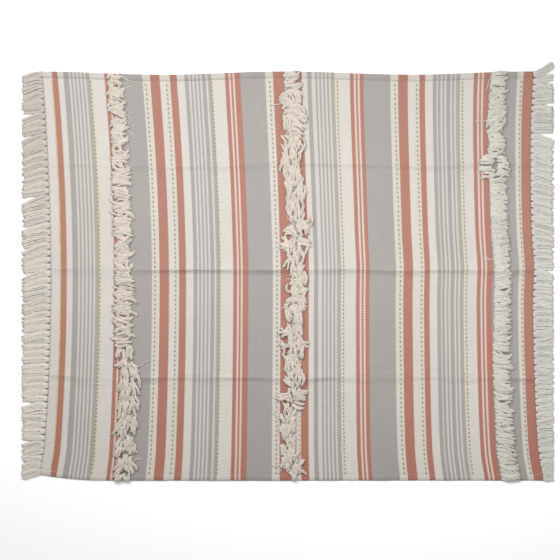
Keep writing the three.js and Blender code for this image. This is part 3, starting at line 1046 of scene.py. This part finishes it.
def tassel_strands(end, y, from_near, rng):
    """The strands of a group's tassels, each a soft bundle of twisted warp yarns tied at a y."""
    side = end["side"]
    root_x, root_y = lay(np.full(GROUP_TASSELS, side * (HALF_LENGTH - UNDER_EDGE)), y)
    share = np.linspace(0.0, 1.0, TASSEL_POINTS)[None]
    length = np.abs(end["tip"] - root_x)[:, None] - TIP_GAP
    sag = interpolate(end["sag"], from_near)[:, None] + rng.normal(0.0, SAG_SPREAD, (GROUP_TASSELS, 1))
    sway = rng.normal(0.0, SWAY, (GROUP_TASSELS, 1)) * np.sin(2.0 * math.pi * share * SWAY_WAVES)
    spine_x = root_x[:, None] + side * length * share
    spine_y = root_y[:, None] - (sag - parted(end, y)[:, None]) * share**SAG_CURVE + sway * share
    spine = np.stack([spine_x, spine_y], axis=-1)
    spread = TASSEL_START + TASSEL_SPREAD * smooth(share * 4.0)
    width = 0.5 * TASSEL_PITCH * spread - TASSEL_RADIUS
    half_width = width * rng.uniform(*TASSEL_WIDTHS, (GROUP_TASSELS, 1))
    lower = TASSEL_HEIGHTS[0] - TASSEL_HEIGHTS[1] * share
    half_height = TASSEL_HALF_HEIGHT * lower * np.ones((GROUP_TASSELS, 1))
    rise = TASSEL_RISE[0] * half_height + TASSEL_RISE[1] * TASSEL_RADIUS
    twist = side * rng.uniform(*TASSEL_TWIST, GROUP_TASSELS)
    paths = lock_strands(spine, rise, half_width, half_height, TASSEL_STRANDS, twist, TASSEL_LOOSE, rng)
    paths[..., 2] = np.maximum(paths[..., 2], OFF_FLOOR * TASSEL_RADIUS)
    paths[..., 0] = side * np.minimum(side * paths[..., 0], side * end["tip"])
    return paths


def make_fringe_group(name, end, number, material, seed):
    """One group of tassels and the cord they are tied over."""
    rng = np.random.default_rng(seed)
    first = -HALF_WIDTH + (number - 1) * GROUP_TASSELS * TASSEL_PITCH
    y = first + TASSEL_PITCH * (np.arange(GROUP_TASSELS) + 0.5)
    from_near = 0.5 + y / CLOTH_WIDTH
    strands = tassel_strands(end, y, from_near, rng)
    paths = np.concatenate([strands, heading_cord(end["side"], first)])
    thick = np.append(TASSEL_RADIUS * rng.uniform(*YARN_SIZES, len(strands)), HEADING_RADIUS)
    radius = thick[:, None] * np.ones(TASSEL_POINTS)
    painted_shading = interpolate(end["painted_shading"], from_near)
    # painted shade: the heading cord gets the full shade colour, a painted shadow in the gaps between the
    # tassels' roots; each tassel takes its end's painted shade
    painted_shade = np.append(np.repeat(painted_shading, TASSEL_STRANDS), 1.0)
    group = yarn_object(f"{name}_{number}_tassels", paths, radius, rng, SLACK_TWIST, painted_shade)
    return place(group, material, "fringe_yarn", f"{name}_{number}")


def make_fringe(materials):
    """All groups of both ends, each end in its own material."""
    return [
        make_fringe_group(name, end, number, materials[name], 5000 * i + number)
        for i, (name, end) in enumerate(FRINGE_ENDS.items(), start=1)
        for number in range(1, GROUPS + 1)
    ]


# -------- stage, light and camera

FLOOR_HALF = 20.0
FLOOR_TONE = (0.99, 0.99, 0.99, 1.0)
FLOOR_ROUGHNESS = 0.9
WORLD_STRENGTH = 0.46
KEY = {"position": (-2.0, 2.6, 3.4), "size": (1.5, 1.5), "power": 90.0}
OVERHEAD = {"position": (0.12, 0.33, 1.25), "size": (2.5, 0.7), "power": 19.0}


def make_floor():
    """A plain, matt white floor."""
    half = FLOOR_HALF
    corners = np.array([[-half, -half, 0], [half, -half, 0], [half, half, 0], [-half, half, 0]])
    floor = new_mesh_object("floor", corners, [np.array([[0, 1, 2, 3]])], {})
    nodes = Nodes("white_floor")
    nodes.shader.inputs["Base Color"].default_value = FLOOR_TONE
    nodes.shader.inputs["Roughness"].default_value = FLOOR_ROUGHNESS
    nodes.shader.inputs["Specular IOR Level"].default_value = 0.0
    floor.data.materials.append(nodes.material)


def make_area_light(name, position, size, power):
    """A soft rectangular light that points at the middle of the throw."""
    data = bpy.data.lights.new(name, "AREA")
    data.shape = "RECTANGLE"
    data.size, data.size_y = size
    data.energy = power
    light = bpy.data.objects.new(name, data)
    light.visible_camera = False
    light.location = position
    x, y, z = position
    light.rotation_euler = (math.atan2(math.hypot(x, y), z), 0.0, math.atan2(y, x) + math.pi / 2)
    bpy.context.scene.collection.objects.link(light)


def make_world(strength):
    """Even white light from all around."""
    world = bpy.data.worlds.new("soft_white")
    world.use_nodes = True
    background = world.node_tree.nodes["Background"]
    background.inputs["Color"].default_value = (1.0, 1.0, 1.0, 1.0)
    background.inputs["Strength"].default_value = strength
    bpy.context.scene.world = world


def make_camera():
    """A camera straight above, as far away as its lens needs to take in the frame."""
    data = bpy.data.cameras.new("camera")
    data.lens = LENS
    data.sensor_width = SENSOR
    camera = bpy.data.objects.new("camera", data)
    height = FRAME_WIDTH * LENS / SENSOR
    camera.location = (ORIGIN_X + FRAME_CENTRE[0], ORIGIN_Y + FRAME_CENTRE[1], height)
    bpy.context.scene.collection.objects.link(camera)
    bpy.context.scene.camera = camera


make_camera()
make_world(WORLD_STRENGTH)
make_area_light("key", **KEY)
make_area_light("overhead", **OVERHEAD)
bpy.context.scene.view_settings.view_transform = "Standard"
make_floor()

cloth = make_cloth(cloth_material())
thread_material = yarn_material("hem_thread_cotton", THREAD)
threads = [
    make_hem_thread("near_hem_stitches", -1, thread_material, "hem_thread_near"),
    make_hem_thread("far_hem_stitches", 1, thread_material, "hem_thread_far"),
]
gold_material = yarn_material("gold_cotton_yarn", GOLD)
accents = make_accent_yarns(gold_material, yarn_material("olive_cotton_yarn", OLIVE))
tuft_material = yarn_material("tuft_cotton_yarn", TUFT_YARN)
tufts = make_tufts({
    "tufts_left": tuft_material,
    "tufts_middle": tuft_material,
    "tufts_right": yarn_material("right_tuft_cotton_yarn", RIGHT_TUFT_YARN),
})
fringe = make_fringe({
    "fringe_left": yarn_material("left_fringe_cotton_yarn", LEFT_FRINGE_YARN, ply_shade=0.10),
    "fringe_right": yarn_material("right_fringe_cotton_yarn", RIGHT_FRINGE_YARN, ply_shade=0.10),
})
